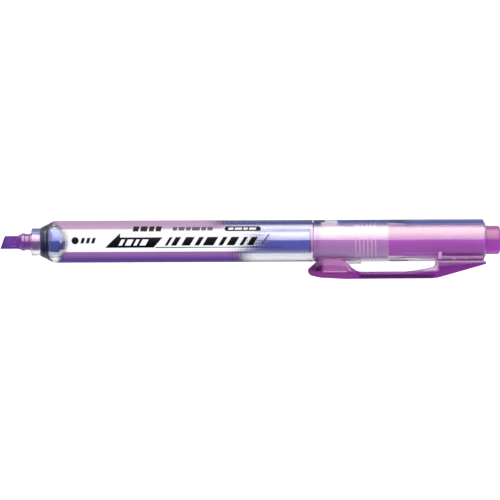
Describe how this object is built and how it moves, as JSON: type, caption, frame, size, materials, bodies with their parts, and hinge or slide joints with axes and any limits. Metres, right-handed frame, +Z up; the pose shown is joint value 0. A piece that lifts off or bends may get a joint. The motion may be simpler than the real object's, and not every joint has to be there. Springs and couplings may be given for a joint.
{
  "type": "retractable highlighter",
  "caption": "Retractable refillable highlighter with a chisel nib, clear barrels, an inner shutter, a knock button and a translucent pocket clip.",
  "frame": {"origin": "middle of the box's underside: the pen lies on its barrel along X, nib out", "axes": "+X from the nib to the knock button along the pen's axis, +Y away from the clip, +Z up"},
  "size_m": [0.141, 0.0168, 0.0119],
  "materials": {
    "nib_felt": "dense felt soaked in violet ink",
    "holder_plastic": "translucent violet, glossy",
    "cartridge_plastic": "translucent, faintly violet, glossy",
    "ink_fibre": "bundled fibre soaked in violet ink",
    "clear_plastic": "clear, polished; the front barrel is printed",
    "seal_rubber": "smooth dark rubber",
    "pale_rubber": "translucent pale rubber",
    "housing_plastic": "translucent pale blue, glossy",
    "lid_plastic": "blue, glossy",
    "violet_plastic": "violet, satin gloss",
    "white_plastic": "natural white, matt",
    "spring_steel": "bright drawn wire",
    "clip_plastic": "translucent violet, polished"
  },
  "bodies": {
    "rear": {"rear_barrel": "clear_plastic", "cam_sleeve": "violet_plastic"},
    "clip": {"clip": "clip_plastic"},
    "button": {"knock_button": "violet_plastic", "cam_plunger": "white_plastic"},
    "rotor": {"cam_rotor": "white_plastic"},
    "joint_ring": {"joint_o_ring": "pale_rubber"},
    "front": {"front_barrel": "clear_plastic", "nose_cone": "clear_plastic", "nose_seal": "seal_rubber", "lid_seat": "seal_rubber", "shutter_housing": "housing_plastic", "shutter_pin_upper": "spring_steel", "shutter_pin_lower": "spring_steel", "spring_washer": "white_plastic", "return_spring": "spring_steel"},
    "refill": {"nib": "nib_felt", "nib_holder": "holder_plastic", "refill_tube": "cartridge_plastic", "ink_core": "ink_fibre", "refill_plug": "white_plastic"},
    "shutter": {"shutter_lid": "lid_plastic", "lid_spring": "spring_steel"}
  },
  "joints": [
    {"name": "knock_slide", "type": "slide", "parent": "rear", "child": "button", "axis": [1, 0, 0], "range_m": [-0.0015, 0.015]},
    {"name": "rotor_turn", "type": "hinge", "parent": "button", "child": "rotor", "pos_m": [0.042, 0.00245, 0.00595], "axis": [1, 0, 0], "range_deg": [-4.6, 45.1]},
    {"name": "refill_slide", "type": "slide", "parent": "front", "child": "refill", "axis": [1, 0, 0], "range_m": [-0.0015, 0.015], "deforming": ["return_spring"]},
    {"name": "unscrew_turn", "type": "hinge", "parent": "joint_ring", "child": "front", "pos_m": [0, 0.00245, 0.00595], "axis": [-1, 0, 0], "range_deg": [0, 2106]},
    {"name": "unscrew_travel", "type": "slide", "parent": "rear", "child": "joint_ring", "axis": [-1, 0, 0], "range_m": [0, 0.0065]},
    {"name": "shutter_turn", "type": "hinge", "parent": "front", "child": "shutter", "pos_m": [-0.0531, 0.00245, 0.00595], "axis": [0, 0, 1], "range_deg": [-3, 3], "deforming": ["lid_spring"]},
    {"name": "clip_flex", "type": "hinge", "parent": "rear", "child": "clip", "pos_m": [0.0661, -0.00375, 0.00595], "axis": [0, 0, 1], "range_deg": [0, 4], "stiffness_Nm_per_rad": 1}
  ],
  "couplings": [
    {"joint": "rotor_turn", "follows": "knock_slide", "rad_per_m": 52.36},
    {"joint": "refill_slide", "follows": "knock_slide", "ratio": 1},
    {"joint": "unscrew_travel", "follows": "unscrew_turn", "m_per_rad": 0.00017666}
  ]
}
